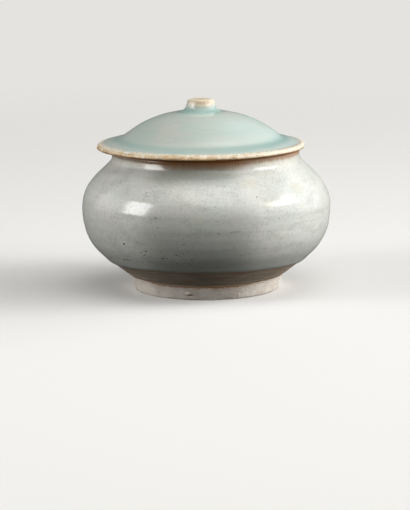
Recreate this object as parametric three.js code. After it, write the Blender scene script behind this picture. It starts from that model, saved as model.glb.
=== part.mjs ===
// A small covered pot in pale celadon glaze, in millimetres with +Z up.
// The jar was thrown on a wheel, turned underneath, and stands on a bare foot ring.
// Its loose lid is a dome with a sloping flange. A ring under the flange keeps it on the
// neck, and a small knob lifts it. Every clay piece is round about its own upright axis.

import * as THREE from 'three';

// Foot ring, turned and left bare
const footRadius = 31.4;
const footTopRadius = 33.75;
const footInnerRadius = 27;
const footHeight = 5.8;
const footEdge = 0.5;

// Jar wall
const bellyRadius = 55;
const bellyHeight = 37;
const flareAngle = 40.8;
const flareReach = 15.3;
const lowerFullness = 18.3;
const shoulderFullness = 12.1;
const shoulderAngle = 65;
const shoulderReach = 5.5;
const bellyWall = 4.2;
const floorThickness = 4.4;
const floorReach = 32;
const insideFullness = 22;
const throatDrop = 1.6;

// Neck and lip
const neckRadius = 41.5;
const neckWall = 3.3;
const neckHeight = 3.8;
const lipHeight = 62.4;
const lipRounding = 1.3;

// Lid flange and rim
const seatGap = 0.3;
const rimOverhang = 4.4;
const rimUpperRounding = 1.5;
const rimLowerRounding = 0.6;
const flangeFall = 15;
const lidShift = 2.2;

// Lid dome
const domeRadius = 35.5;
const domeAngle = 38;
const domeFillet = 3;
const domeFootReach = 12;
const crownRise = 16.1;
const crownReach = 7.5;
const crownAngle = 10.5;
const crownWall = 3.6;
const hollowReach = 17;
const hollowFullness = 6.5;
const hollowLean = 0.4;

// Locating ring under the lid
const ringClearance = 0.8;
const ringWall = 3.2;
const ringDepth = 5.5;
const ringEdge = 0.6;

// Knob
const knobHeight = 5.45;
const knobTopRadius = 6.2;
const knobWaistRadius = 6.75;
const knobFootRadius = 9.2;
const knobRounding = 1.3;
const knobFilletHeight = 2.2;
const knobFootEdge = 0.2;

// Fired colours and their gloss
const jarGlaze = 0xc9cbc3;
const lidGlaze = 0xc3cec6;
const thinGlaze = 0xc9bda6;
const footClay = 0xbcb3aa;
const lidClay = 0xb98a5a;
const glossy = 0.25;
const halfGlossy = 0.4;
const matt = 0.8;

// How finely the round forms are divided
const turns = 64;
const knobTurns = 40;
const curveSteps = 8;
const edgeSteps = 3;
const filletSteps = 4;
const samePoint = 0.0001;

// The most of a wall's thickness that one rounded edge may take
const edgeShare = 0.4;

// Sizes that follow from the ones above
const neckBore = neckRadius - neckWall;
const neckRoot = lipHeight - neckHeight;
const lipEdge = Math.min(lipRounding, neckWall * edgeShare);
const flangeUnder = lipHeight + seatGap;
const rimRadius = neckRadius + rimOverhang;
const ringRadius = neckBore - lidShift - ringClearance;
const ringInnerRadius = ringRadius - ringWall;
const crownHeight = flangeUnder + crownRise;

const point = (radius, height) => new THREE.Vector2(radius, height);

// A point a set distance from another, along a direction given in degrees.
function step(from, angle, distance) {
  const turn = THREE.MathUtils.degToRad(angle);
  return point(from.x + distance * Math.cos(turn), from.y + distance * Math.sin(turn));
}

function curve(from, fromHandle, toHandle, to) {
  return new THREE.CubicBezierCurve(from, fromHandle, toHandle, to).getPoints(curveSteps);
}

// A rounded edge: part of a circle about a centre, between two directions in degrees.
function roundEdge(centre, radius, fromAngle, toAngle) {
  const points = [];
  for (let i = 0; i <= edgeSteps; i += 1) {
    points.push(step(centre, fromAngle + ((toAngle - fromAngle) * i) / edgeSteps, radius));
  }
  return points;
}

// Turns an outline of radius and height round the upright axis.
function turned(name, outline, color, roughness, divisions = turns) {
  const distinct = outline.filter((p, i) => i === 0 || p.distanceTo(outline[i - 1]) > samePoint);
  const geometry = new THREE.LatheGeometry(distinct, divisions);
  geometry.rotateX(Math.PI / 2);
  const material = new THREE.MeshStandardMaterial({ color, roughness, metalness: 0 });
  const mesh = new THREE.Mesh(geometry, material);
  mesh.name = name;
  return mesh;
}

// The jar: flared out of the foot, full at the belly, drawn in to a short upright neck.
function jarBody() {
  const footCorner = point(footTopRadius, footHeight);
  const belly = point(bellyRadius, bellyHeight);
  const neckRootOutside = point(neckRadius, neckRoot);
  const lower = curve(
    footCorner,
    step(footCorner, flareAngle, flareReach),
    step(belly, -90, lowerFullness),
    belly,
  );
  const shoulder = curve(
    belly,
    step(belly, 90, shoulderFullness),
    step(neckRootOutside, -shoulderAngle, shoulderReach),
    neckRootOutside,
  );
  const lip = [
    ...roundEdge(point(neckRadius - lipEdge, lipHeight - lipEdge), lipEdge, 0, 90),
    ...roundEdge(point(neckBore + lipEdge, lipHeight - lipEdge), lipEdge, 90, 180),
  ];
  const throat = point(neckBore, neckRoot - throatDrop);
  const bellyInside = point(bellyRadius - bellyWall, bellyHeight);
  const shoulderInside = curve(
    throat,
    step(throat, -shoulderAngle, shoulderReach),
    step(bellyInside, 90, shoulderFullness),
    bellyInside,
  );
  const floor = point(0, footHeight + floorThickness);
  const bowlInside = curve(
    bellyInside,
    step(bellyInside, -90, insideFullness),
    step(floor, 0, floorReach),
    floor,
  );
  return turned(
    'jar_body',
    [point(0, footHeight), ...lower, ...shoulder, ...lip, ...shoulderInside, ...bowlInside],
    jarGlaze,
    glossy,
  );
}

function footRing() {
  const innerBottom = point(footInnerRadius, 0);
  const outline = [
    step(innerBottom, 0, footEdge),
    point(footRadius - footEdge, 0),
    point(footRadius, footEdge),
    point(footTopRadius, footHeight),
    point(footInnerRadius, footHeight),
    step(innerBottom, 90, footEdge),
    step(innerBottom, 0, footEdge),
  ];
  return turned('foot_ring', outline, footClay, matt);
}

// The lid's shell: hollow dome, level seat for the knob, flange and rounded rim.
function lidShell() {
  const hollowFoot = point(ringInnerRadius, flangeUnder);
  const hollowTop = point(0, crownHeight - crownWall);
  const hollow = curve(
    hollowTop,
    step(hollowTop, 0, hollowReach),
    point(ringInnerRadius - hollowLean, flangeUnder + hollowFullness),
    hollowFoot,
  );
  const rimMiddle = flangeUnder + rimLowerRounding;
  const rim = [
    ...roundEdge(point(rimRadius - rimLowerRounding, rimMiddle), rimLowerRounding, -90, 0),
    ...roundEdge(point(rimRadius - rimUpperRounding, rimMiddle), rimUpperRounding, 0, 90 - flangeFall),
  ];
  const rimTop = rim[rim.length - 1];
  const flangeSlope = Math.tan(THREE.MathUtils.degToRad(flangeFall));
  const junction = point(domeRadius, rimTop.y + (rimTop.x - domeRadius) * flangeSlope);
  const domeFoot = step(junction, 180 - domeAngle, domeFillet);
  const intoDome = new THREE.QuadraticBezierCurve(
    step(junction, -flangeFall, domeFillet),
    junction,
    domeFoot,
  ).getPoints(filletSteps);
  const seatEdge = point(knobFootRadius, crownHeight);
  const dome = curve(
    domeFoot,
    step(domeFoot, 180 - domeAngle, domeFootReach),
    step(seatEdge, -crownAngle, crownReach),
    seatEdge,
  );
  return turned(
    'lid_shell',
    [...hollow, ...rim, ...intoDome, ...dome, point(0, crownHeight)],
    lidGlaze,
    glossy,
  );
}

function locatingRing() {
  const outline = [
    point(ringInnerRadius, flangeUnder - ringDepth + ringEdge),
    point(ringInnerRadius + ringEdge, flangeUnder - ringDepth),
    point(ringRadius - ringEdge, flangeUnder - ringDepth),
    point(ringRadius, flangeUnder - ringDepth + ringEdge),
    point(ringRadius, flangeUnder),
    point(ringInnerRadius, flangeUnder),
    point(ringInnerRadius, flangeUnder - ringDepth + ringEdge),
  ];
  return turned('lid_locating_ring', outline, lidClay, matt);
}

// The knob: a low cone with a flat top, drawn out at its foot where it is luted on.
function lidKnob() {
  const knobTop = crownHeight + knobHeight;
  const waist = point(knobWaistRadius, crownHeight + knobFilletHeight);
  const filletFoot = point(knobFootRadius, crownHeight + knobFootEdge);
  const fillet = new THREE.QuadraticBezierCurve(
    filletFoot,
    point(knobWaistRadius, crownHeight + knobFootEdge),
    waist,
  ).getPoints(edgeSteps);
  const topCentre = point(knobTopRadius - knobRounding, knobTop - knobRounding);
  return turned(
    'lid_knob',
    [
      point(0, crownHeight),
      point(knobFootRadius, crownHeight),
      ...fillet,
      ...roundEdge(topCentre, knobRounding, 0, 90),
      point(0, knobTop),
    ],
    thinGlaze,
    halfGlossy,
    knobTurns,
  );
}

const jar = new THREE.Group();
jar.name = 'jar';
jar.add(jarBody(), footRing());

// The lid lies loose and was set down a little to one side of the jar's axis.
const lid = new THREE.Group();
lid.name = 'lid';
lid.position.x = -lidShift;
lid.add(lidShell(), locatingRing(), lidKnob());

const coveredPot = new THREE.Group();
coveredPot.name = 'covered_pot';
coveredPot.add(jar, lid);

export default coveredPot;
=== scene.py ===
# A small covered pot: a squat thrown jar in grey-white celadon on a bare foot ring, and a
# loose domed lid in a bluer celadon with a small knob. Shapes are in metres, and patterns
# on the pot's finishes are in millimetres.

import math

import bmesh
import bpy
from mathutils import Matrix, Vector, noise
from mathutils.geometry import interpolate_bezier


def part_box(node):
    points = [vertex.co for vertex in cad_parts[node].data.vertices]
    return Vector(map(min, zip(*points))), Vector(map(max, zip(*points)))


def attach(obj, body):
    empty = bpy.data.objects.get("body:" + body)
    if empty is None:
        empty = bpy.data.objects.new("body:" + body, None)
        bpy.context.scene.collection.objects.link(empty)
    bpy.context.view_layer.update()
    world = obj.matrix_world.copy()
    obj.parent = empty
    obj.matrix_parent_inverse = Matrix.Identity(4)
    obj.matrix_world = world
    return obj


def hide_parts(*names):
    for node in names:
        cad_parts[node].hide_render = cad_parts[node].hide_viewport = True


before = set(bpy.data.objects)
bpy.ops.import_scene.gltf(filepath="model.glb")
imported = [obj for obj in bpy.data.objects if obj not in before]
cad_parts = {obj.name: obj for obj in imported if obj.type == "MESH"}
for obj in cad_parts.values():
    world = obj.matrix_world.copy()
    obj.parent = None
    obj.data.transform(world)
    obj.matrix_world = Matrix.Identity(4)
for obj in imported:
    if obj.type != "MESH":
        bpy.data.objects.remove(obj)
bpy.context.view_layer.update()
mm = 0.001


# Camera
# A long lens a metre in front of the pot, which looks a little down on its shoulder.
camera_place = Vector((-0.68, -1050, 202.77)) * mm
camera_pitch = math.radians(10.179)
camera_roll = math.radians(0.4)
focal_length = 169.07

lens = bpy.data.cameras.new("camera")
lens.lens = focal_length
camera = bpy.data.objects.new("camera", lens)
aim = Matrix.Rotation(math.pi / 2 - camera_pitch, 4, "X") @ Matrix.Rotation(-camera_roll, 4, "Z")
camera.matrix_world = Matrix.Translation(camera_place) @ aim
bpy.context.scene.collection.objects.link(camera)
bpy.context.scene.camera = camera
bpy.context.scene.view_settings.view_transform = "Standard"


# Jar body
# The thrown wall of the jar, from the turned underside through the full belly to the short
# neck. Grey-white celadon covers it inside and out, and stops a little above the foot.
foot_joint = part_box("foot_ring")[1]
jar_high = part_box("jar_body")[1]
belly_radius = jar_high.x
lip_height = jar_high.z
foot_top_radius = foot_joint.x
foot_height = foot_joint.z

belly_height = 37 * mm
flare_angle = 40.8
flare_reach = 15.3 * mm
lower_fullness = 18.3 * mm
shoulder_fullness = 8.7 * mm
shoulder_angle = 43.5
shoulder_reach = 5.7 * mm
shoulder_top_radius = 44.72 * mm
shoulder_top_height = 54.6 * mm
neck_sweep = 2.7 * mm
neck_radius = 41.5 * mm
neck_foot_radius = 41.35 * mm
neck_foot_height = 60.2 * mm
neck_wall = 3.3 * mm
lip_rounding = 1.3 * mm
throat_height = 57 * mm
throat_angle = 65
throat_reach = 5.5 * mm
belly_wall = 4.2 * mm
inside_shoulder_fullness = 12.1 * mm
floor_height = 10.2 * mm
floor_reach = 32 * mm
inside_fullness = 22 * mm

jar_turns = 240
wedges = 16
same_place = 0.002 * mm


def at(radius, height):
    """A point of an outline, at a radius and a height."""
    return Vector((radius, 0, height))


def round_at(angle, radius, height):
    """A place at an angle in radians round the axis, a radius and a height."""
    return Vector((radius * math.cos(angle), radius * math.sin(angle), height))


def set_off(start, angle, distance):
    """The point a distance away from another, along an angle above the horizontal."""
    turn = math.radians(angle)
    return start + at(math.cos(turn), math.sin(turn)) * distance


def across(start, end, steps):
    """Evenly spaced points on a straight stretch of an outline, without its last one."""
    return [start.lerp(end, step / steps) for step in range(steps)]


def swell(start, leaving, arriving, end, steps):
    """Points on a curved stretch of an outline, without its last one."""
    return interpolate_bezier(start, leaving, arriving, end, steps + 1)[:-1]


def bow(start, leaving, arriving, end, steps):
    """Such points again, with both ends' handles given as an angle and a reach."""
    return swell(start, set_off(start, *leaving), set_off(end, *arriving), end, steps)


def round_off(centre, radius, first_angle, last_angle, steps):
    """Points on a rounded edge of an outline, its last one included."""
    turn = (last_angle - first_angle) / steps
    return [set_off(centre, first_angle + turn * step, radius) for step in range(steps + 1)]


def throw(name, stretches, turns, fired, centre=0, closed=False):
    """Spins an outline round the wheel's axis, one wedge first and then its copies. Its
    stretches come with their side: 1 outside and 0 inside. Then fired() moves each point, given
    its angle, radius, height and side, to where fingers, tools and kiln left it, and says how
    far within the glaze it lies, in millimetres, less than 0 on bare clay, for the finish."""
    shape = bmesh.new()
    outside = shape.verts.layers.float.new("outside")
    cover = shape.verts.layers.float.new("cover")
    points = []
    for side, stretch in stretches:
        for place in stretch:
            point = shape.verts.new(place)
            point[outside] = side
            points.append(point)
    for first, second in zip(points, points[1:]):
        shape.edges.new((first, second))
    if closed:
        shape.edges.new((points[-1], points[0]))
    bmesh.ops.spin(
        shape,
        geom=shape.verts[:] + shape.edges[:],
        cent=(0, 0, 0),
        axis=(0, 0, 1),
        angle=math.tau / wedges,
        steps=turns // wedges,
    )
    wedge = shape.verts[:] + shape.edges[:] + shape.faces[:]
    for count in range(1, wedges):
        copied = bmesh.ops.duplicate(shape, geom=wedge)["geom"]
        bmesh.ops.rotate(
            shape,
            cent=(0, 0, 0),
            matrix=Matrix.Rotation(math.tau * count / wedges, 3, "Z"),
            verts=[item for item in copied if isinstance(item, bmesh.types.BMVert)],
        )
    bmesh.ops.remove_doubles(shape, verts=shape.verts, dist=same_place)
    bmesh.ops.recalc_face_normals(shape, faces=shape.faces)
    for point in shape.verts:
        radius = math.hypot(point.co.x, point.co.y)
        angle = math.atan2(point.co.y, point.co.x)
        radius, height, point[cover] = fired(angle, radius, point.co.z, point[outside])
        point.co = round_at(angle, radius, height)
    bmesh.ops.translate(shape, verts=shape.verts, vec=(centre, 0, 0))
    for face in shape.faces:
        face.smooth = True
    mesh = bpy.data.meshes.new(name)
    shape.to_mesh(mesh)
    shape.free()
    piece = bpy.data.objects.new(name, mesh)
    bpy.context.scene.collection.objects.link(piece)
    return piece


def hump(distance, width):
    """1 in the middle of a swelling and almost nothing two widths away from it."""
    return math.exp(-((distance / width) ** 2))


def ease(value, start, end):
    """0 up to the start, 1 from the end, and smooth between them."""
    share = min(max((value - start) / (end - start), 0), 1)
    return share * share * (3 - 2 * share)


def away(angle, degrees):
    """How far an angle in radians lies from one in degrees, the short way round, in degrees."""
    return (math.degrees(angle) - degrees + 180) % 360 - 180


axis_floor = at(0, foot_height)
foot_corner = at(foot_top_radius, foot_height)
belly = at(belly_radius, belly_height)
shoulder_top = at(shoulder_top_radius, shoulder_top_height)
neck_foot = at(neck_foot_radius, neck_foot_height)
lip_outside = at(neck_radius - lip_rounding, lip_height - lip_rounding)
lip_inside = at(neck_radius - neck_wall + lip_rounding, lip_height - lip_rounding)
throat = at(neck_radius - neck_wall, throat_height)
belly_inside = belly - at(belly_wall, 0)
bowl_floor = at(0, floor_height)

underside = across(axis_floor, foot_corner, steps=60)
flare = bow(foot_corner, (flare_angle, flare_reach), (-90, lower_fullness), belly, steps=120)
shoulder_end = (-shoulder_angle, shoulder_reach)
shoulder = bow(belly, (90, shoulder_fullness), shoulder_end, shoulder_top, steps=74)
neck = [
    *bow(shoulder_top, (180 - shoulder_angle, neck_sweep), (-90, neck_sweep), neck_foot, steps=22),
    *across(neck_foot, set_off(lip_outside, 0, lip_rounding), steps=3),
    *round_off(lip_outside, lip_rounding, 0, 90, steps=7),
]
jar_inside = [
    *round_off(lip_inside, lip_rounding, 90, 180, steps=7),
    *across(set_off(lip_inside, 180, lip_rounding), throat, steps=8)[1:],
    *bow(throat, (-throat_angle, throat_reach), (90, inside_shoulder_fullness), belly_inside, steps=30),
    *bow(belly_inside, (-90, inside_fullness), (0, floor_reach), bowl_floor, steps=52),
    bowl_floor,
]

# Where the glaze stops above the foot, and the waves in that line: each one's height, its
# number round the jar and the angle of a crest
glaze_line = 13.3 * mm
glaze_waves = [
    (0.54 * mm, 1, -69),
    (0.55 * mm, 2, -91),
    (0.14 * mm, 5, 20),
    (0.10 * mm, 9, -40),
    (0.06 * mm, 17, 10),
]
glaze_roll = 0.28 * mm
glaze_roll_width = 1.1 * mm
clay_set_back = 0.4 * mm
clay_set_back_from = 9.5 * mm

# Spirals that the fingers leave in a wall: each one's depth, its spacing and its starts
finger_ripples = [(0.055 * mm, 12.5 * mm, 1), (0.018 * mm, 4.7 * mm, 1), (0.0045 * mm, 1.9 * mm, 2)]
inside_ripples = [(0.09 * mm, 7.5 * mm, 1), (0.03 * mm, 3.1 * mm, 1)]
turning_rings = [(0.035 * mm, 1.7 * mm, 1), (0.02 * mm, 0.9 * mm, 1)]

finger_ripples_rise = (16 * mm, 24 * mm)
centre_still = 2 * mm

oval = 0.2 * mm
three_sided = 0.1 * mm
three_sided_turn = 0.9
true_near_lip = 5.5 * mm
floor_edge = 2 * mm
floor_rings_still = 3 * mm
floor_true = 5 * mm
foot_joint_edge = (7 * mm, 8 * mm)
front_ridge = 0.22 * mm
front_ridge_height = 34 * mm
front_ridge_fall = 3 * mm
front_ridge_rise = (14 * mm, 26 * mm)
front_ridge_angle = -92
front_ridge_width = 34
clay_edge = (-0.25 * mm, 0.35 * mm)
foot_carried_up = 0.55 * mm
carried_up_height = 6.8 * mm
carried_up_width = 1.1 * mm
well_within = 20
bare_clay = -1


def glaze_line_at(angle):
    """The height at which the glaze stops, at an angle round the jar."""
    waves = [
        size * math.cos(math.radians(count * away(angle, crest)))
        for size, count, crest in glaze_waves
    ]
    return glaze_line + sum(waves)


def rippled(place, angle, ripples):
    """How far a set of spirals moves a wall, at a place along it and an angle."""
    return sum(
        depth * math.sin(math.tau * place / spacing + starts * angle)
        for depth, spacing, starts in ripples
    )


def jar_wall(angle, radius, height, side):
    """The jar's wall as it came out of the kiln."""
    slow = oval * math.sin(2 * angle) + three_sided * math.sin(3 * angle + three_sided_turn)
    slow *= ease(height, foot_height, belly_height)
    shift = slow * ease(lip_height - height, 0, true_near_lip)
    if side == 0:
        above_floor = ease(height, floor_height, floor_height + floor_edge)
        shift += above_floor * rippled(height, angle, inside_ripples)
        floor_rings = (1 - above_floor) * rippled(radius, angle, inside_ripples)
        height += floor_rings * ease(radius, 0, floor_rings_still)
        return max(radius + shift * ease(radius, 0, floor_true), 0), height, well_within
    above = height - glaze_line_at(angle)
    if height < foot_height + same_place:
        ring_depth = rippled(radius, angle, turning_rings) * ease(radius, 0, centre_still)
        height += ring_depth * ease(foot_top_radius - radius, *foot_joint_edge)
        return radius, height, above / mm
    shift += rippled(height, angle, finger_ripples) * ease(height, *finger_ripples_rise)
    below_ridge = ease(front_ridge_height - height, 0, front_ridge_fall)
    below_ridge *= ease(height, *front_ridge_rise)
    shift -= front_ridge * below_ridge * hump(away(angle, front_ridge_angle), front_ridge_width)
    shift += glaze_roll * hump(above - glaze_roll_width, glaze_roll_width)
    shift -= foot_carried_up * hump(height - carried_up_height, carried_up_width) * ease(
        height, foot_height, carried_up_height
    )
    bare = ease(height, foot_height, clay_set_back_from) * (1 - ease(above, *clay_edge))
    return radius + shift - clay_set_back * bare, height, above / mm


jar = throw(
    "jar_body_thrown",
    [(1, underside + flare + shoulder + neck), (0, jar_inside)],
    jar_turns,
    jar_wall,
)


class Wash:
    """A number, place or colour spread over a piece: one output of a node in its finish."""

    def __init__(self, tree, socket=None):
        self.tree = tree
        self.socket = socket

    def node(self, kind, settings, sockets, output):
        """Adds a node: its settings are made first, then its sockets get values or links."""
        made = self.tree.nodes.new("ShaderNode" + kind)
        for name, setting in settings.items():
            setattr(made, name, setting)
        inputs = {socket.identifier: socket for socket in made.inputs}
        for name, value in sockets.items():
            if isinstance(value, Wash):
                self.tree.links.new(value.socket, inputs[name])
            else:
                inputs[name].default_value = value
        outputs = {socket.identifier: socket for socket in made.outputs}
        return Wash(self.tree, outputs.get(output))

    def maths(self, operation, *values):
        sockets = dict(zip(("Value", "Value_001"), values))
        return self.node("Math", {"operation": operation}, sockets, "Value")

    def __add__(self, other):
        return self.maths("ADD", self, other)

    def __sub__(self, other):
        return self.maths("SUBTRACT", self, other)

    def __rsub__(self, other):
        return self.maths("SUBTRACT", other, self)

    def __mul__(self, other):
        return self.maths("MULTIPLY", self, other)

    __radd__ = __add__
    __rmul__ = __mul__


glaze_gloss = 1.7
clay_gloss = 1.4
glaze_roughness = 0.1
clay_roughness = 0.82

# The curve between light as it is seen and light as it is sent back
seen_offset = 0.055
seen_power = 2.4


def start_finish(piece, centre=0):
    """Gives a piece an empty finish, and returns its places in millimetres from its own axis."""
    material = bpy.data.materials.new(piece.name + "_finish")
    material.use_nodes = True
    material.node_tree.nodes.clear()
    piece.data.materials.append(material)
    place = Wash(material.node_tree).node("TexCoord", {}, {}, "Object")
    to_mm = {"Vector": place, "Location": (-centre / mm, 0, 0), "Scale": (1 / mm, 1 / mm, 1 / mm)}
    return place.node("Mapping", {"vector_type": "POINT"}, to_mm, "Vector")


def end_finish(colour, roughness, relief, gloss):
    """Closes a finish with its colour, its roughness and its relief in millimetres."""
    bump = relief.node("Bump", {}, {"Distance": mm, "Height": relief}, "Normal")
    skin = {"Base Color": colour, "Roughness": roughness, "Normal": bump, "IOR": gloss}
    surface = colour.node("BsdfPrincipled", {}, skin, "BSDF")
    colour.node("OutputMaterial", {}, {"Surface": surface}, None)


def tint(red, green, blue):
    """A colour as it is seen, from 0 to 255, turned into the light that it sends back."""
    seen = [share / 255 for share in (red, green, blue)]
    light = [((share + seen_offset) / (1 + seen_offset)) ** seen_power for share in seen]
    return (*light, 1)


def part(place, axis):
    """How far along an axis each place lies."""
    return place.node("SeparateXYZ", {}, {"Vector": place}, axis)


def stretch(place, factors):
    """Places drawn out along the axes, so that a pattern on them is drawn in."""
    sockets = {"Vector": place, "Vector_001": factors}
    return place.node("VectorMath", {"operation": "MULTIPLY"}, sockets, "Vector")


def from_axis(place):
    """How far each place is from the piece's axis."""
    flat = stretch(place, (1, 1, 0))
    return place.node("VectorMath", {"operation": "LENGTH"}, {"Vector": flat}, "Value")


def towards(place, degrees):
    """1 on the side of a piece that faces an angle, and -1 on the far side."""
    flat = {"Vector": stretch(place, (1, 1, 0))}
    way = place.node("VectorMath", {"operation": "NORMALIZE"}, flat, "Vector")
    turn = math.radians(degrees)
    sockets = {"Vector": way, "Vector_001": (math.cos(turn), math.sin(turn), 0)}
    return place.node("VectorMath", {"operation": "DOT_PRODUCT"}, sockets, "Value")


def fade(value, start, full):
    """0 up to the start, 1 from where it is full, and smooth between them."""
    sockets = {"Value": value, "From Min": start, "From Max": full}
    return value.node("MapRange", {"interpolation_type": "SMOOTHSTEP"}, sockets, "Result")


def on_side(place, degrees, start, full):
    """1 on the side that faces an angle, and 0 well away from it."""
    return fade(towards(place, degrees), start, full)


def uneven(value, pattern, amount):
    """A height or a distance that a pattern moves by up to half an amount, up or down."""
    return value + (pattern - 0.5) * amount


def layer(where, under, over, share=1):
    """One colour laid over another, by a share where a pattern is 1 and not at all at 0."""
    sockets = {"Factor_Float": where * share, "A_Color": under, "B_Color": over}
    return where.node("Mix", {"data_type": "RGBA", "clamp_factor": True}, sockets, "Result_Color")


def coats(colour, *rows):
    """Colours laid over a first one in turn, each given as where it lies, itself and its share."""
    for where, over, share in rows:
        colour = layer(where, colour, over, share)
    return colour


def cloud(place, size, detail=3):
    """Soft patches of about a size, mostly between 0.3 and 0.7."""
    sockets = {"Vector": place, "Scale": 1 / size, "Detail": detail}
    return place.node("TexNoise", {}, sockets, "Fac")


def blotches(place, start, full, size, detail=3):
    """Soft patches of about a size, drawn apart to lie between 0 and 1."""
    return fade(cloud(place, size, detail), start, full)


def specks(place, spacing, size, share):
    """Round dots up to a size across, in a share of the cells of a spacing."""
    cells = {"Vector": place, "Scale": 1 / spacing}
    distance = place.node("TexVoronoi", {}, cells, "Distance") * spacing
    chance = part(place.node("TexVoronoi", {}, cells, "Color"), "X")
    return fade(distance, size / 2, size / 4) * fade(chance, 1 - share, 1 - share / 2)


mark_core = 0.4


def spot(place, radius, degrees, height, width, tall):
    """One mark on a wall, at a radius, an angle and a height, fading out at its width."""
    centre = round_at(math.radians(degrees), radius, height)
    ends = {"Vector": place, "Vector_001": centre}
    gap = place.node("VectorMath", {"operation": "SUBTRACT"}, ends, "Vector")
    gap = {"Vector": stretch(gap, (2 / width, 2 / width, 2 / tall))}
    distance = place.node("VectorMath", {"operation": "LENGTH"}, gap, "Value")
    return fade(distance, 1, mark_core)


def radius_at(outline, height):
    """The radius of an outline at a height."""
    for first, second in zip(outline, outline[1:]):
        if min(first.z, second.z) <= height <= max(first.z, second.z) and first.z != second.z:
            return first.lerp(second, (height - first.z) / (second.z - first.z)).x
    return outline[-1].x


# Marks on the jar, each as an angle in degrees, and in millimetres a height, a width and a
# height of its own
jar_pinhole = (-131.1, 26.6, 1.5, 1.5)
jar_pinhole_halo = (-131.1, 26.6, 3.0, 2.8)
jar_specks = [
    (-120.2, 49.0, 1.3, 0.6),
    (-118.9, 47.8, 0.9, 0.5),
    (-112.8, 39.3, 1.5, 0.7),
    (-130.6, 35.5, 0.9, 1.1),
    (-100.2, 28.4, 0.8, 0.8),
    (-104.7, 19.2, 0.9, 0.7),
    (-65.4, 47.5, 1.2, 0.8),
    (-80.7, 51.9, 0.8, 0.6),
    (-65.6, 29.2, 0.8, 0.8),
    (-84.6, 33.0, 2.2, 0.5),
    (-77.0, 33.6, 7.0, 0.35),
    (-134.7, 18.6, 6.0, 0.6),
    (-119.3, 24.2, 1.6, 0.8),
    (-104.3, 23.4, 1.4, 0.8),
    (-111.9, 35.2, 1.2, 0.6),
    (-111.3, 21.4, 2.2, 0.7),
    (-97.0, 21.4, 1.2, 0.8),
    (40.0, 44.0, 1.2, 0.8),
    (75.0, 30.0, 1.0, 0.9),
    (118.0, 50.5, 1.3, 0.7),
    (152.0, 24.0, 0.9, 0.9),
]
jar_stains = [
    (-94.3, 38.6, 9.0, 4.0),
    (-66.5, 53.1, 11.0, 5.0),
    (-38.0, 49.0, 12.0, 7.0),
    (-60.0, 44.5, 9.0, 5.0),
    (60.0, 41.0, 12.0, 5.0),
    (140.0, 34.0, 10.0, 6.0),
]
jar_outline = flare + shoulder


def marked(place, outline, marks):
    """All the marks of a list, laid on the wall that an outline gives."""
    total = 0
    for degrees, height, width, tall in marks:
        radius = radius_at(outline, height * mm) / mm
        total = total + spot(place, radius, degrees, height, width, tall)
    return total


def from_list(piece_place, name):
    """A number that the piece's points carry."""
    return piece_place.node("Attribute", {"attribute_name": name}, {}, "Fac")


jar_glaze = tint(216, 215, 207)
jar_glaze_cool = tint(207, 211, 205)
jar_glaze_warm = tint(221, 217, 206)
pooled_glaze = tint(168, 180, 172)
# Painted shade low on the jar, partly thicker glaze, and more painted shade low in front
lower_shade_and_glaze = tint(158, 160, 151)
front_painted_shade = tint(128, 130, 122)
glaze_grain = tint(166, 165, 152)
glaze_dull = tint(186, 187, 178)
neck_brown = tint(156, 102, 44)
neck_buff = tint(220, 211, 190)
# A painted shadow on the neck below the lid
neck_painted_shadow = tint(128, 132, 122)
bare_flare = tint(190, 176, 157)
bare_flare_dark = tint(162, 146, 126)
flash_brown = tint(170, 118, 68)
foot_joint_clay = tint(225, 214, 200)
iron_dark = tint(70, 58, 46)
halo_pale = tint(232, 232, 226)
stain_buff = tint(203, 196, 172)
inside_glaze = tint(196, 201, 190)
dimple_depth = 0.006
clay_grain_depth = 0.07
clay_line_depth = 0.08
pinhole_depth = 0.25
fleck_depth = 0.05


def glazed_roughness(glazed, more):
    """The roughness of bare clay, or where it is glazed that of the glaze and a little more."""
    return clay_roughness + glazed * (glaze_roughness - clay_roughness + more)


place = start_finish(jar)
height = part(place, "Z")
cover = from_list(place, "cover")
outside = from_list(place, "outside")
drawn_round = stretch(place, (0.07, 0.07, 1))
drawn_down = stretch(place, (1, 1, 0.09))

# The glaze, from its broad patches down to its grain
mottling = cloud(place, size=1.3)
smears = cloud(stretch(place, (0.5, 0.5, 1)), size=4, detail=5)
cool_patches = blotches(place, 0.32, 0.68, size=16)
warm_patches = blotches(stretch(place, (0.6, 0.6, 1)), 0.45, 0.75, size=11)
bands = blotches(drawn_round, 0.38, 0.72, size=1.6, detail=2)
fine_lines = blotches(stretch(place, (0.05, 0.05, 1)), 0.5, 0.75, size=0.7, detail=2)
fine_grain = blotches(place, 0.52, 0.72, size=0.8, detail=2)
grain_share = 0.3 + fade(smears, 0.4, 0.65) * 0.35
colour = coats(
    jar_glaze,
    (cool_patches, jar_glaze_cool, 0.7),
    (warm_patches, jar_glaze_warm, 0.6),
    (bands, pooled_glaze, 0.16),
    (fade(smears, 0.5, 0.72), glaze_dull, 0.5),
    (fine_lines, glaze_dull, 0.2),
    (fade(mottling, 0.45, 0.75), pooled_glaze, 0.32),
    (fine_grain, glaze_grain, grain_share),
)

# Its tones: darker low down, as painted shade and partly thicker glaze, not on the left,
# with more painted shade low in front, and glaze pooled at its end
left_low = on_side(place, -135, 0.7, 0.93)
low = fade(height, 31, 20) * (1 - left_low) * outside
front_low_painted_shade = fade(height, 52, 28) * on_side(place, -94, 0.84, 0.98)
stains = marked(place, jar_outline, jar_stains)
colour = coats(
    colour,
    (low, lower_shade_and_glaze, 0.3),
    (front_low_painted_shade * outside, front_painted_shade, 0.54),
    (fade(cover, 3.5, 0.4), pooled_glaze, 0.5),
    (1 - outside, inside_glaze, 0.5),
    (fade(stains, 0.1, 1), stain_buff, 0.32),
)
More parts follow.
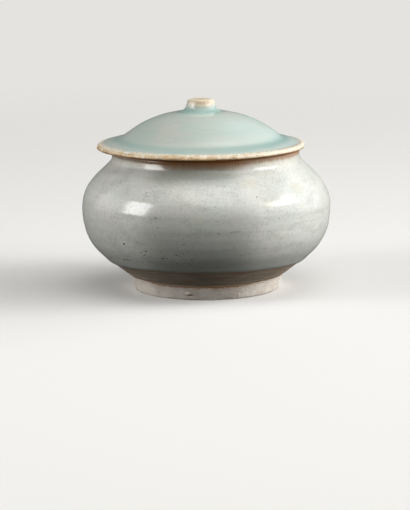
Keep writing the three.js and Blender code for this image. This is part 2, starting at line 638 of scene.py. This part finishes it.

# The neck: a painted shadow below the lid in front, and brown stains in streaks, which in
# front are partly painted shade as well
streaks = cloud(drawn_down, size=0.8)
front = on_side(place, -97, 0.72, 0.96) * outside
painted_lid_shadow_side = on_side(place, -97, 0.84, 0.99) * outside
neck_height = uneven(height, streaks, 2.4)
colour = coats(
    colour,
    (fade(neck_height, 57, 60.5) * outside, neck_buff, 0.4),
    (fade(neck_height, 49.5, 55) * painted_lid_shadow_side, neck_painted_shadow, 0.7),
    (fade(neck_height, 56.8, 60.8) * front, neck_brown, 0.7),
    (fade(neck_height, 59.6, 61.4) * outside, neck_brown, 0.75),
)

# Its specks, its soot low on the left and its one large pinhole
worn_side = on_side(place, -128, 0.2, 0.95) * fade(height, 38, 20)
wide_specks = specks(place, spacing=5.2, size=0.8, share=0.35)
close_specks = specks(place, spacing=2.4, size=0.9, share=0.32)
flecks = wide_specks * 0.55 + close_specks * (0.05 + worn_side * 0.65)
soot_height = fade(height, 27, 23) * fade(height, 15, 18)
soot_side = on_side(place, -112, 0.9, 0.98) * soot_height
soot_patches = blotches(place, 0.46, 0.6, size=3.5, detail=2)
soot = specks(stretch(place, (0.8, 0.8, 1.2)), spacing=1.3, size=1, share=0.6)
dark_marks = marked(place, jar_outline, jar_specks)
halo = marked(place, jar_outline, [jar_pinhole_halo])
pinhole = marked(place, jar_outline, [jar_pinhole])
colour = coats(
    colour,
    (flecks, iron_dark, 1),
    (soot * soot_side * soot_patches, iron_dark, 0.5),
    (fade(dark_marks, 0, 0.8), iron_dark, 0.7),
    (fade(halo, 0, 1), halo_pale, 0.8),
    (fade(pinhole, 0, 0.6), iron_dark, 0.92),
)

# The bare clay below it, flashed brown beside the glaze and above the foot
grain = cloud(place, size=0.45, detail=4)
wander = uneven(cover, cloud(place, size=1.1, detail=2), 0.7)
glazed = fade(wander, -0.1, 0.15)
turned_lines = blotches(drawn_round, 0.35, 0.65, size=0.8)
flashed_patches = blotches(place, 0.45, 0.75, size=7)
flash = fade(wander, -0.9, -0.25)
beside = 1 - on_side(place, -95, 0.6, 0.92)
recessed = fade(from_axis(place), 31, 28)
above_foot = uneven(height, cloud(place, size=2, detail=2), 1.2)
above_foot = above_foot - beside * 1.1 - recessed * 1.5
clay = coats(
    bare_flare,
    (turned_lines, bare_flare_dark, 1),
    (flashed_patches, flash_brown, 0.25),
    (flash + fade(above_foot, 6.9, 6), flash_brown, 0.75),
    (fade(above_foot, 6, 5.6), foot_joint_clay, 1),
    (fade(grain, 0.58, 0.75), iron_dark, 0.5),
)
colour = layer(glazed, clay, colour)

roughness = glazed_roughness(glazed, mottling * 0.14)
dimples = cloud(place, size=0.9, detail=1) * dimple_depth
clay_lines = cloud(drawn_round, size=0.5, detail=2) * clay_line_depth
clay_grain = (1 - glazed) * (grain * clay_grain_depth + clay_lines)
pits = (pinhole * pinhole_depth + flecks * fleck_depth) * -1
end_finish(colour, roughness, dimples + clay_grain + pits, glaze_gloss)

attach(jar, "jar")
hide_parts("jar_body")


# Foot ring
# The ring that the jar stands on, turned from the same clay and left bare. It fired to a
# pale pinkish buff, chipped along its lower edge and a little lifted on one side.
foot_radius = 31.9 * mm
foot_inner_radius = 27 * mm
foot_edge = 0.3 * mm
foot_turns = 480

foot_lift = 0.3 * mm
foot_lift_angle = -15
foot_lift_width = 50
foot_lift_from = 1.6 * mm
foot_roughness = 0.05 * mm
foot_grain_size = 1.1 * mm
foot_joint_still = 0.6 * mm
edge_wear = 0.2 * mm
edge_wear_size = 3.2 * mm
edge_wear_height = 1.1 * mm
edge_wear_patches = (0.12, 0.5)
edge_wear_from = foot_radius - 1.5 * mm
edge_worn_up = 0.6
edge_worn_up_from = foot_radius - 2 * mm
chip_core = 0.35
chips_from = (foot_radius - 2 * mm, foot_radius - 1 * mm)

# How fast the finer grains of the clay weaken, how much finer each is, and how many there are
grain_weakening = 1
grain_step = 2
grain_count = 3

# Chips outside, as an angle, a height, a width, a height of its own and a depth, which for a
# lump is less than 0, and rough patches, as an angle, half a width in degrees and a depth
foot_damage = [
    (-104.4, 2.9, 3.0, 1.6, -0.7),
    (-102.2, 1.9, 3.0, 1.1, 0.45),
    (-129.4, 2.2, 1.0, 1.0, 0.5),
    (-86.0, 1.0, 1.6, 1.0, 0.25),
    (-57.0, 4.6, 1.1, 0.7, 0.2),
    (-40.0, 2.6, 1.4, 0.9, 0.2),
    (12.0, 1.4, 2.4, 1.5, 0.4),
    (71.0, 3.4, 1.2, 0.8, 0.35),
    (128.0, 1.2, 3.0, 1.6, 0.4),
    (166.0, 3.8, 0.8, 0.8, 0.3),
    (-123.0, 5.0, 1.6, 0.8, -0.3),
    (-128.5, 4.7, 0.9, 0.7, -0.25),
    (-47.0, 5.0, 1.3, 0.7, -0.2),
]
foot_stains = [(-102.6, 2.2, 2.6, 1.0), (-129.4, 2.2, 1.2, 1.1)]
foot_rough_patches = [(-62.0, 14.0, 0.1 * mm), (95.0, 16.0, 0.1 * mm)]


def grainy(place, size):
    """An uneven number about 0, as of clay with grains of about a size."""
    return noise.fractal(place / size, grain_weakening, grain_step, grain_count)


def soften(corner, first_angle, last_angle, reach, steps):
    """Points round a softened corner, without the last one, between two places near it."""
    start = set_off(corner, first_angle, reach)
    end = set_off(corner, last_angle, reach)
    return swell(start, corner, corner, end, steps)


def foot_wall(angle, radius, height, side):
    """The foot ring as it was turned, chipped and worn."""
    if side == 0 or height > foot_height - same_place:
        return radius, height, bare_clay
    spot_here = round_at(angle, radius, height)
    patchy = sum(
        extra * hump(away(angle, middle), width) for middle, width, extra in foot_rough_patches
    )
    rough = grainy(spot_here, foot_grain_size) * (foot_roughness + patchy)
    rough *= ease(foot_height - height, 0, foot_joint_still)
    worn = ease(noise.noise(spot_here / edge_wear_size), *edge_wear_patches)
    worn *= hump(height, edge_wear_height)
    radius += rough - edge_wear * worn * ease(radius, edge_wear_from, foot_radius)
    height += edge_wear * worn * edge_worn_up * ease(radius, edge_worn_up_from, foot_radius)
    for degrees, middle, width, tall, depth in foot_damage:
        sideways = math.radians(away(angle, degrees)) * foot_radius / (width * mm / 2)
        upright = (height - middle * mm) / (tall * mm / 2)
        hollow = 1 - ease(math.hypot(sideways, upright), chip_core, 1)
        radius -= depth * mm * hollow * ease(radius, *chips_from)
    lifted = foot_lift * hump(away(angle, foot_lift_angle), foot_lift_width)
    lifted *= 1 - ease(height, 0, foot_lift_from)
    return radius, height + lifted, bare_clay


inner_bottom = at(foot_inner_radius, 0)
outer_bottom = at(foot_radius, 0)
inner_top = at(foot_inner_radius, foot_height)
foot_slope = math.degrees(math.atan2(foot_height, foot_top_radius - foot_radius))
foot_outside = [
    *across(set_off(inner_bottom, 0, foot_edge), set_off(outer_bottom, 180, foot_edge), steps=12),
    *soften(outer_bottom, 180, foot_slope, foot_edge, steps=4),
    *across(set_off(outer_bottom, foot_slope, foot_edge), foot_corner, steps=22),
    foot_corner,
]
foot_inside = [
    *across(inner_top, set_off(inner_bottom, 90, foot_edge), steps=10),
    *soften(inner_bottom, 90, 0, foot_edge, steps=4),
]
foot_sides = [(1, foot_outside), (0, foot_inside)]
foot = throw("foot_ring_turned", foot_sides, foot_turns, foot_wall, closed=True)

foot_clay = tint(232, 223, 211)
foot_clay_pink = tint(216, 203, 190)
foot_clay_pale = tint(238, 232, 221)
foot_dirt = tint(134, 118, 100)
scraped_roughness = 0.8
foot_grain_depth = 0.14
scraped_depth = 0.12

place = start_finish(foot)
height = part(place, "Z")
drawn_round = stretch(place, (0.12, 0.12, 1))
grain = cloud(place, size=0.5, detail=4)
scraped = cloud(drawn_round, size=0.5, detail=2)
pink_patches = blotches(place, 0.36, 0.64, size=6)
pale_lines = blotches(drawn_round, 0.5, 0.72, size=1.1)
in_front = on_side(place, -95, 0.6, 0.92)
rust_height = uneven(height, cloud(place, size=1.7), 2.2)
rust = fade(rust_height, 4.9, 5.9)
stains = marked(place, foot_outside, foot_stains)
dirt_specks = specks(place, spacing=2.6, size=0.45, share=0.3)
# Darker towards the bottom edge: partly dirt, partly painted contact shade
dirt_and_contact_shade_height = uneven(height, cloud(place, size=3), 2)
relief = grain * foot_grain_depth + scraped * scraped_depth
colour = coats(
    foot_clay,
    (pink_patches, foot_clay_pink, 1),
    (pale_lines, foot_clay_pale, 0.7),
    (fade(grain, 0.56, 0.74), foot_dirt, 0.4),
    (rust * in_front, flash_brown, 0.7),
    (fade(stains, 0.1, 1), flash_brown, 0.7),
    (dirt_specks, foot_dirt, 0.6),
    (fade(dirt_and_contact_shade_height, 1.1, -0.2), foot_dirt, 0.45),
)
end_finish(colour, scraped_roughness + grain * 0.12, relief, clay_gloss)

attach(foot, "jar")
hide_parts("foot_ring")


# Lid shell
# The thrown dome of the lid with its sloping flange. Pale blue-green celadon covers the top,
# pools where the dome meets the flange, and breaks to buff and brown along the rim.
lid_low, lid_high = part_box("lid_shell")
ring_low, ring_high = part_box("lid_locating_ring")
knob_low, knob_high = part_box("lid_knob")
lid_centre = (lid_low.x + lid_high.x) / 2
rim_radius = (lid_high.x - lid_low.x) / 2
flange_under = lid_low.z
crown_height = lid_high.z
ring_radius = (ring_high.x - ring_low.x) / 2
knob_foot_radius = (knob_high.x - knob_low.x) / 2

ring_wall = 3.2 * mm
rim_upper_rounding = 1.5 * mm
rim_lower_rounding = 0.6 * mm
flange_fall = 15
dome_radius = 35.5 * mm
dome_angle = 38
dome_fillet = 1.5 * mm
dome_foot_reach = 13.5 * mm
crown_reach = 7.5 * mm
crown_angle = 10.5
crown_wall = 3.6 * mm
hollow_reach = 17 * mm
hollow_fullness = 6.5 * mm
hollow_lean = 0.4 * mm
lid_turns = 512

dome_lean = 0.38 * mm
dome_lean_rise = (knob_foot_radius, 15 * mm)
dome_lean_fall = (33 * mm, 38 * mm)
rim_lift = 0.5 * mm
rim_lift_angle = -40
rim_lift_width = 34
rim_drop = 0.12 * mm
rim_drop_angle = -125
rim_drop_width = 30
rim_waver = 0.1 * mm
rim_waver_turn = 1.1
rim_nibble = 0.2 * mm
rim_nibble_size = 1.6 * mm
rim_nibble_upright = 0.5
rim_from = 42.5 * mm
dome_ripples = [(0.03 * mm, 9.5 * mm, 1), (0.010 * mm, 3.9 * mm, 1), (0.003 * mm, 1.7 * mm, 2)]
dome_ripples_rise = (knob_foot_radius, 14 * mm)
dome_ripples_fall = (36 * mm, 40 * mm)
beside_ring = 0.5 * mm
hollow_rings_from = 30 * mm


def lid_wall(angle, radius, height, side):
    """The lid's shell as it came out of the kiln."""
    near_rim = ease(radius, rim_from, rim_radius)
    nibble = grainy(round_at(angle, radius, height), rim_nibble_size) * rim_nibble
    lean = dome_lean * ease(radius, *dome_lean_rise) * (1 - ease(radius, *dome_lean_fall))
    height += near_rim * rim_lift * hump(away(angle, rim_lift_angle), rim_lift_width)
    height -= near_rim * rim_drop * hump(away(angle, rim_drop_angle), rim_drop_width)
    height += near_rim * rim_waver * math.sin(3 * angle + rim_waver_turn)
    radius_out = radius + near_rim * nibble + lean * math.cos(angle)
    height += near_rim * nibble * rim_nibble_upright
    if side == 0:
        under_rings = rippled(radius, angle, turning_rings) * ease(radius, 0, centre_still)
        off_ring = ease(radius - ring_radius, 0, beside_ring)
        off_ring += ease(radius, ring_radius - ring_wall, hollow_rings_from)
        return radius_out, height + under_rings * min(off_ring, 1), bare_clay
    thrown = ease(radius, *dome_ripples_rise) * (1 - ease(radius, *dome_ripples_fall))
    height += rippled(radius, angle, dome_ripples) * thrown
    return radius_out, height, (rim_radius - radius) / mm


ring_inner_radius = ring_radius - ring_wall
hollow_foot = at(ring_inner_radius, flange_under)
hollow_top = at(0, crown_height - crown_wall)
rim_middle = flange_under + rim_lower_rounding
lower_rim_centre = at(rim_radius - rim_lower_rounding, rim_middle)
upper_rim_centre = at(rim_radius - rim_upper_rounding, rim_middle)
upper_rim = round_off(upper_rim_centre, rim_upper_rounding, 0, 90 - flange_fall, steps=10)
rim_top = upper_rim[-1]
flange_rise = (rim_top.x - dome_radius) * math.tan(math.radians(flange_fall))
junction = at(dome_radius, rim_top.z + flange_rise)
flange_top = set_off(junction, -flange_fall, dome_fillet)
dome_foot = set_off(junction, 180 - dome_angle, dome_fillet)
seat_edge = at(knob_foot_radius, crown_height)
crown_middle = at(0, crown_height)
ring_corner = at(ring_radius, flange_under)
corner_pull = 2 / 3
dome_foot_end = (180 - dome_angle, dome_foot_reach)

lid_inside = [
    *swell(
        hollow_top,
        set_off(hollow_top, 0, hollow_reach),
        hollow_foot + at(-hollow_lean, hollow_fullness),
        hollow_foot,
        steps=34,
    ),
    *across(hollow_foot, ring_corner, steps=2),
    *across(ring_corner, set_off(lower_rim_centre, -90, rim_lower_rounding), steps=16),
    *round_off(lower_rim_centre, rim_lower_rounding, -90, 0, steps=5)[:-1],
]
lid_outside = [
    *upper_rim[:-1],
    *across(rim_top, flange_top, steps=16),
    *swell(
        flange_top,
        flange_top.lerp(junction, corner_pull),
        dome_foot.lerp(junction, corner_pull),
        dome_foot,
        steps=9,
    ),
    *bow(dome_foot, dome_foot_end, (-crown_angle, crown_reach), seat_edge, steps=76),
    *across(seat_edge, crown_middle, steps=3),
    crown_middle,
]
lid_sides = [(0, lid_inside), (1, lid_outside)]
lid = throw("lid_shell_thrown", lid_sides, lid_turns, lid_wall, lid_centre)

lid_glaze = tint(184, 196, 187)
lid_glaze_blue = tint(177, 194, 187)
lid_glaze_grey = tint(192, 195, 185)
# Paler thin glaze with a painted sheen, and clearer glaze painted lighter where light falls
lid_glaze_pale_and_sheen = tint(202, 207, 198)
lid_glaze_clear_and_lit = tint(192, 212, 208)
lid_pool = tint(136, 171, 165)
rim_bright = tint(248, 242, 229)
rim_cream = tint(232, 225, 207)
rim_buff = tint(222, 204, 170)
rim_gold = tint(204, 164, 108)
rim_brown = tint(134, 100, 62)
# Burnt clay and painted shadow along the rim's lower edge
rim_burnt_and_shaded = tint(88, 58, 30)
lid_clay = tint(176, 134, 88)
lid_clay_dark = tint(138, 100, 62)
lid_grain_depth = 0.1


def golden_clay(broad, pale, grain, pale_share):
    """Bare golden-brown clay with broad darker patches, paler ones and a dark grain."""
    clay = layer(fade(broad, 0.36, 0.64), lid_clay, lid_clay_dark)
    clay = layer(fade(pale, 0.5, 0.75), clay, rim_buff, pale_share)
    return layer(fade(grain, 0.58, 0.75), clay, lid_clay_dark, share=0.5)


place = start_finish(lid, lid_centre)
height = part(place, "Z")
radius = from_axis(place)
outside = from_list(place, "outside")
drawn_round = stretch(place, (0.07, 0.07, 1))
drawn_out = cloud(place, size=2.2)
mottling = cloud(place, size=1.2)
grain = cloud(place, size=0.5, detail=4)

# The glaze: clearer on the right and painted lighter there as lit, paler above the pool with
# a painted sheen there in front, and pooled outside the dome and round the knob
broad_patches = blotches(place, 0.36, 0.64, size=17, detail=2)
blue_patches = blotches(place, 0.5, 0.72, size=12)
bands = blotches(drawn_round, 0.45, 0.72, size=1.1, detail=2)
fine_grain = blotches(place, 0.5, 0.72, size=0.7, detail=2)
clear_and_lit_side = on_side(place, -15, 0.2, 0.95) * fade(radius, 10, 24)
beside = towards(place, 0)
beside = beside * beside
pool_edge = uneven(radius, cloud(place, size=5, detail=2), 2.4)
pool_outside = fade(pool_edge, 44.6 - beside * 3.4, 40.4 - beside * 3.4)
pool_inside = fade(uneven(radius, mottling, 0.8), 35.4 - beside * 3.5, 36.8)
pool_share = 0.3 + beside * 0.3 + clear_and_lit_side * 0.15
pale_and_sheen_above_pool = fade(radius, 29, 35.2) * fade(radius, 36.4, 35.4)
small_specks = specks(place, spacing=6.5, size=0.45, share=0.25)
colour = coats(
    lid_glaze_grey,
    (broad_patches, lid_glaze, 1),
    (blue_patches, lid_glaze_blue, 0.7),
    (bands, lid_pool, 0.14),
    (fade(mottling, 0.5, 0.76), lid_pool, 0.15),
    (fine_grain, glaze_grain, 0.14),
    (clear_and_lit_side, lid_glaze_clear_and_lit, 0.5),
    (pool_inside * pool_outside, lid_pool, pool_share),
    (pale_and_sheen_above_pool * (1 - beside), lid_glaze_pale_and_sheen, 0.25),
    (fade(radius, 12.5, 9), lid_pool, 0.7),
    (small_specks, iron_dark, 0.5),
)

# The rim, where the glaze thins to cream and gold and is burnt along its lower edge, which is
# also darkened as a painted shadow of the gap above the neck
thinned = uneven(uneven(radius, drawn_out, 1.8), mottling, 1.6)
golden = on_side(place, -150, -0.35, 0.75)
rim_patches = cloud(place, size=3.4)
rim_zone = fade(radius, 43, 44.5)
rim_edge = fade(radius, 43, 44)
gold_patches = fade(rim_patches, 0.48, 0.64) * fade(thinned, 43.4, 44.6)
bright_patches = fade(rim_patches, 0.48, 0.34) * fade(thinned, 43.2, 44.2)
low_edge = fade(uneven(height, mottling, 0.9), 64.1, 63.1) * rim_edge
burnt_and_shaded_edge = fade(uneven(height, drawn_out, 0.8), 63.5, 63.05) * rim_edge
bright_bits = specks(stretch(place, (0.8, 0.8, 1.5)), spacing=1.5, size=1.2, share=0.3)
bright_bits = bright_bits * rim_zone
dark_bits = specks(stretch(place, (1.1, 0.9, 1.3)), spacing=1.4, size=0.8, share=0.4)
dark_bits = dark_bits * rim_zone
colour = coats(
    colour,
    (fade(thinned, 42.4, 44.2), rim_cream, 1),
    (fade(thinned, 43.8, 45.4), rim_buff, 0.2 + golden * 0.55),
    (fade(thinned, 44.6, 46.2), rim_gold, 0.1 + golden * 0.5),
    (gold_patches, rim_gold, 0.1 + golden * 0.55),
    (bright_patches, rim_bright, 0.5),
    (low_edge, rim_gold, 0.4 + golden * 0.4),
    (burnt_and_shaded_edge, rim_burnt_and_shaded, 0.9),
    (bright_bits, rim_bright, 0.6),
    (dark_bits, rim_brown, 0.35 + golden * 0.45),
)

# The bare clay under the lid
broad = cloud(place, size=8)
clay = golden_clay(broad, cloud(place, size=1), grain, pale_share=0.5)
glazed = fade(outside, 0.4, 0.6)
colour = layer(glazed, clay, colour)

thin_glaze = fade(thinned, 42.5, 45.5)
roughness = glazed_roughness(glazed, mottling * 0.16 + thin_glaze * 0.16)
dimples = cloud(place, size=0.9, detail=1) * dimple_depth
rim_relief = mottling * 0.3 + rim_patches * 0.35 + bright_bits * 0.08 - dark_bits * 0.16
clay_relief = (1 - glazed) * (grain * lid_grain_depth)
end_finish(colour, roughness, dimples + rim_zone * rim_relief + clay_relief, glaze_gloss)

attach(lid, "lid")
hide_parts("lid_shell")


# Locating ring
# A short ring of clay luted under the flange, which drops inside the neck and keeps the lid
# on. It is bare and fired golden brown.
ring_edge = 0.6 * mm
ring_bottom = ring_low.z
ring_turns = 256
luting_height = 1.2 * mm
ring_roughness = 0.8
ring_line_depth = 0.1


def ring_side(angle, radius, height, side):
    """The ring as it was turned, with the smear of slip that joins it to the flange."""
    rings = rippled(height, angle, turning_rings) * ease(flange_under - height, 0, luting_height)
    outward = 1 if side else -1
    return radius + outward * rings, height, bare_clay


ring_outer_bottom = at(ring_radius, ring_bottom)
ring_inner_bottom = at(ring_inner_radius, ring_bottom)
ring_outside = [
    *across(
        set_off(ring_inner_bottom, 0, ring_edge),
        set_off(ring_outer_bottom, 180, ring_edge),
        steps=5,
    ),
    *soften(ring_outer_bottom, 180, 90, ring_edge, steps=5),
    *across(set_off(ring_outer_bottom, 90, ring_edge), ring_corner, steps=16),
    ring_corner,
]
ring_inside = [
    *across(hollow_foot, set_off(ring_inner_bottom, 90, ring_edge), steps=16),
    *soften(ring_inner_bottom, 90, 0, ring_edge, steps=5),
]
ring_sides = [(1, ring_outside), (0, ring_inside)]
ring = throw("locating_ring_luted", ring_sides, ring_turns, ring_side, lid_centre, closed=True)

place = start_finish(ring, lid_centre)
drawn_round = stretch(place, (0.12, 0.12, 1))
grain = cloud(place, size=0.5, detail=4)
broad = cloud(place, size=7)
colour = golden_clay(broad, cloud(drawn_round, size=0.9), grain, pale_share=0.6)
lines = cloud(drawn_round, size=0.5, detail=2)
relief = grain * lid_grain_depth + lines * ring_line_depth
end_finish(colour, ring_roughness + grain * 0.1, relief, clay_gloss)

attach(ring, "lid")
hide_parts("lid_locating_ring")


# Knob
# A small turned cone luted to the crown. The glaze ran off its top, where it is thin and
# tan with pinholes, and gathered blue-green in the hollow round its foot.
knob_top = knob_high.z
knob_top_radius = 6.05 * mm
knob_waist_radius = 6.45 * mm
knob_waist_height = 81.4 * mm
knob_rounding = 1.5 * mm
knob_taper = 12
knob_top_slope = 84
knob_crown = 0.08 * mm
knob_foot_leaving = 2 * mm
knob_waist_arriving = 1.2 * mm
knob_waist_angle = 82
knob_turns = 256
knob_lean = 0.2 * mm
knob_oval = 0.06 * mm
knob_oval_turn = 0.7
knob_waver = 0.05 * mm
knob_waver_size = 2.5 * mm


def knob_wall(angle, radius, height, side):
    """The knob as it was turned, a little out of true."""
    up = ease(height, crown_height, knob_waist_height)
    shift = knob_oval * math.sin(2 * angle + knob_oval_turn)
    shift += knob_waver * noise.noise(round_at(angle, radius, height) / knob_waver_size)
    shift += knob_lean * math.cos(angle)
    shift *= up * ease(radius, 0, centre_still)
    return radius + shift, height, (knob_top - height) / mm


knob_foot = at(knob_foot_radius, crown_height)
knob_waist = at(knob_waist_radius, knob_waist_height)
knob_shoulder = at(knob_top_radius - knob_rounding, knob_top - knob_crown - knob_rounding)
knob_middle = at(0, knob_top)
knob_outline = [
    *across(crown_middle, knob_foot, steps=3),
    *bow(
        knob_foot,
        (180 - crown_angle, knob_foot_leaving),
        (-knob_waist_angle, knob_waist_arriving),
        knob_waist,
        steps=22,
    ),
    *across(knob_waist, set_off(knob_shoulder, knob_taper, knob_rounding), steps=10),
    *round_off(knob_shoulder, knob_rounding, knob_taper, knob_top_slope, steps=10)[:-1],
    *across(set_off(knob_shoulder, knob_top_slope, knob_rounding), knob_middle, steps=12),
    knob_middle,
]
knob = throw("knob_luted", [(1, knob_outline)], knob_turns, knob_wall, lid_centre)

knob_tan = tint(208, 196, 170)
knob_rust = tint(188, 158, 116)
knob_cream = tint(228, 220, 200)
knob_roughness = 0.24
knob_dimple_depth = 0.03
knob_pit_depth = 0.08

place = start_finish(knob, lid_centre)
height = part(place, "Z")
radius = from_axis(place)
drawn_down = stretch(place, (1, 1, 0.2))
mottling = cloud(place, size=1.1)
runs = cloud(drawn_down, size=0.9)
pits = specks(place, spacing=1.7, size=0.5, share=0.35)
facing = on_side(place, -90, 0.55, 0.9)
top_rust = fade(uneven(height, mottling, 1.2), 82, 83)
top_edge = fade(height, 83.5, 83.9) * fade(radius, 3.5, 5)
thin_in_front = facing * 0.9
thicker = fade(uneven(height + thin_in_front, runs, 1.4), 82.9, 81.9)
gathered = uneven(height + thin_in_front * 0.4, runs, 1.6)
run_down = fade(runs, 0.5, 0.7) * fade(height, 83.4, 81.5)
roughness = knob_roughness + fade(height, 82.5, 84) * 0.2 + mottling * 0.1
relief = cloud(place, size=0.8, detail=2) * knob_dimple_depth - pits * knob_pit_depth
colour = coats(
    knob_tan,
    (fade(mottling, 0.38, 0.66), knob_cream, 1),
    (top_rust * (0.25 + facing * 0.75), knob_rust, 0.55),
    (top_edge, knob_cream, 0.6),
    (thicker, lid_glaze_grey, 0.75),
    (fade(gathered, 82, 80.2), lid_pool, 0.8),
    (run_down, lid_pool, 0.25),
    (pits * fade(height, 81, 82), iron_dark, 0.7),
)
end_finish(colour, roughness, relief, glaze_gloss)

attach(knob, "lid")
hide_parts("lid_knob")


# Floor
# A plain pale ground under and behind the pot. It sends less light back up at the pot than
# it shows to the camera.
floor_radius = 7
floor_sides = 96
floor_seen = tint(228, 227, 224)
floor_bounce = tint(40, 40, 39)
near_glow = 0.08
mirrored = 0.15
glow_from = 0.12
glow_full = 0.9

ground = bmesh.new()
bmesh.ops.create_circle(ground, cap_ends=True, segments=floor_sides, radius=floor_radius)
floor_mesh = bpy.data.meshes.new("floor")
ground.to_mesh(floor_mesh)
ground.free()
floor = bpy.data.objects.new("floor", floor_mesh)
bpy.context.scene.collection.objects.link(floor)


def seen_directly(wash):
    """1 for what is seen straight, less for what a gloss mirrors, and 0 for what lights the pot."""
    camera_ray = wash.node("LightPath", {}, {}, "Is Camera Ray")
    glossy_ray = wash.node("LightPath", {}, {}, "Is Glossy Ray")
    glass_ray = wash.node("LightPath", {}, {}, "Is Transmission Ray")
    return camera_ray + glass_ray + glossy_ray * mirrored


floor_finish = bpy.data.materials.new("floor_finish")
floor_finish.use_nodes = True
floor_finish.node_tree.nodes.clear()
floor_mesh.materials.append(floor_finish)
wash = Wash(floor_finish.node_tree)
matt_seen = wash.node("BsdfDiffuse", {}, {"Color": floor_seen}, "BSDF")
glow_seen = wash.node("Emission", {}, {"Color": floor_seen}, "Emission")
distance = from_axis(wash.node("TexCoord", {}, {}, "Object"))
glow = near_glow + fade(distance, glow_from, glow_full) * (1 - near_glow)
looks = {"Fac": glow, "Shader": matt_seen, "Shader_001": glow_seen}
seen = wash.node("MixShader", {}, looks, "Shader")
matt_bounce = wash.node("BsdfDiffuse", {}, {"Color": floor_bounce}, "BSDF")
ways = {"Fac": seen_directly(wash), "Shader": matt_bounce, "Shader_001": seen}
wash.node("OutputMaterial", {}, {"Surface": wash.node("MixShader", {}, ways, "Shader")}, None)


# Lights
# A tall soft box on the left and small layers of one on the right make the paired highlights.
# Wide faint layers light both sides. On the right the glaze mirrors only a dim sheen and not
# the wide layers, and broad layers overhead light the lid.
pot_middle = Vector((0, 0, 0.045))
near = 1.5
far = 1.7
top_way = (0.2, -0.36, 1)
top_widths = (0.35, 0.65, 0.95, 1.25, 1.55)
top_brightness = 1.2
right_way = (0.96, -0.1, 0.56)
right_sizes = ((0.85, 0.42), (0.68, 0.3), (0.5, 0.18))
right_brightness = 4.8
right_wide_way = (0.965, -0.01, 0.18)
right_wide_sizes = ((3.0, 1.4), (2.4, 1.2), (1.8, 1.0))
right_wide_brightness = 2.4
sheen_way = (0.965, 0.0, 0.38)
sheen_size = (3.2, 1.6)
sheen_brightness = 0.8
left_way = (-0.91, -0.35, 0.38)
left_distance = 1.3
left_size = (0.56, 0.76)
left_brightness = 5.8
left_wide_way = (-0.97, 0, 0.28)
left_wide_sizes = ((2.2, 1.1), (1.7, 0.9), (1.2, 0.7))
left_wide_brightness = 1.0


def soft_box(name, towards_light, distance, width, tall, brightness, shines=True):
    """A soft box at a distance, turned to the pot. A brightness of 1 is a white surface's. One
    that doesn't shine lights the pot, but isn't mirrored in its glaze."""
    lamp = bpy.data.lights.new(name, "AREA")
    lamp.shape = "RECTANGLE"
    lamp.size = width
    lamp.size_y = tall
    lamp.energy = brightness * math.pi * width * tall
    light = bpy.data.objects.new(name, lamp)
    direction = Vector(towards_light).normalized()
    light.location = pot_middle + direction * distance
    light.rotation_euler = direction.to_track_quat("Z", "Y").to_euler()
    light.visible_camera = False
    light.visible_glossy = shines
    bpy.context.scene.collection.objects.link(light)


soft_box("left_soft_box", left_way, left_distance, *left_size, left_brightness)
for width, tall in left_wide_sizes:
    soft_box(f"left_wide_box_{width}", left_wide_way, far, width, tall, left_wide_brightness)
for width, tall in right_sizes:
    soft_box(f"right_soft_box_{width}", right_way, near, width, tall, right_brightness)
for width, tall in right_wide_sizes:
    name = f"right_wide_box_{width}"
    soft_box(name, right_wide_way, far, width, tall, right_wide_brightness, shines=False)
soft_box("right_sheen_box", sheen_way, far, *sheen_size, sheen_brightness)
for width in top_widths:
    soft_box(f"top_soft_box_{width}", top_way, near, width, width, top_brightness)


# World
# An even pale room behind the pot, which lights it only a little.
room_seen = tint(228, 227, 224)
room_fill = 0.02

world = bpy.data.worlds.new("room")
bpy.context.scene.world = world
world.use_nodes = True
world.node_tree.nodes.clear()
wash = Wash(world.node_tree)
strength = room_fill + seen_directly(wash) * (1 - room_fill)
room = wash.node("Background", {}, {"Color": room_seen, "Strength": strength}, "Background")
wash.node("OutputWorld", {}, {"Surface": room}, None)
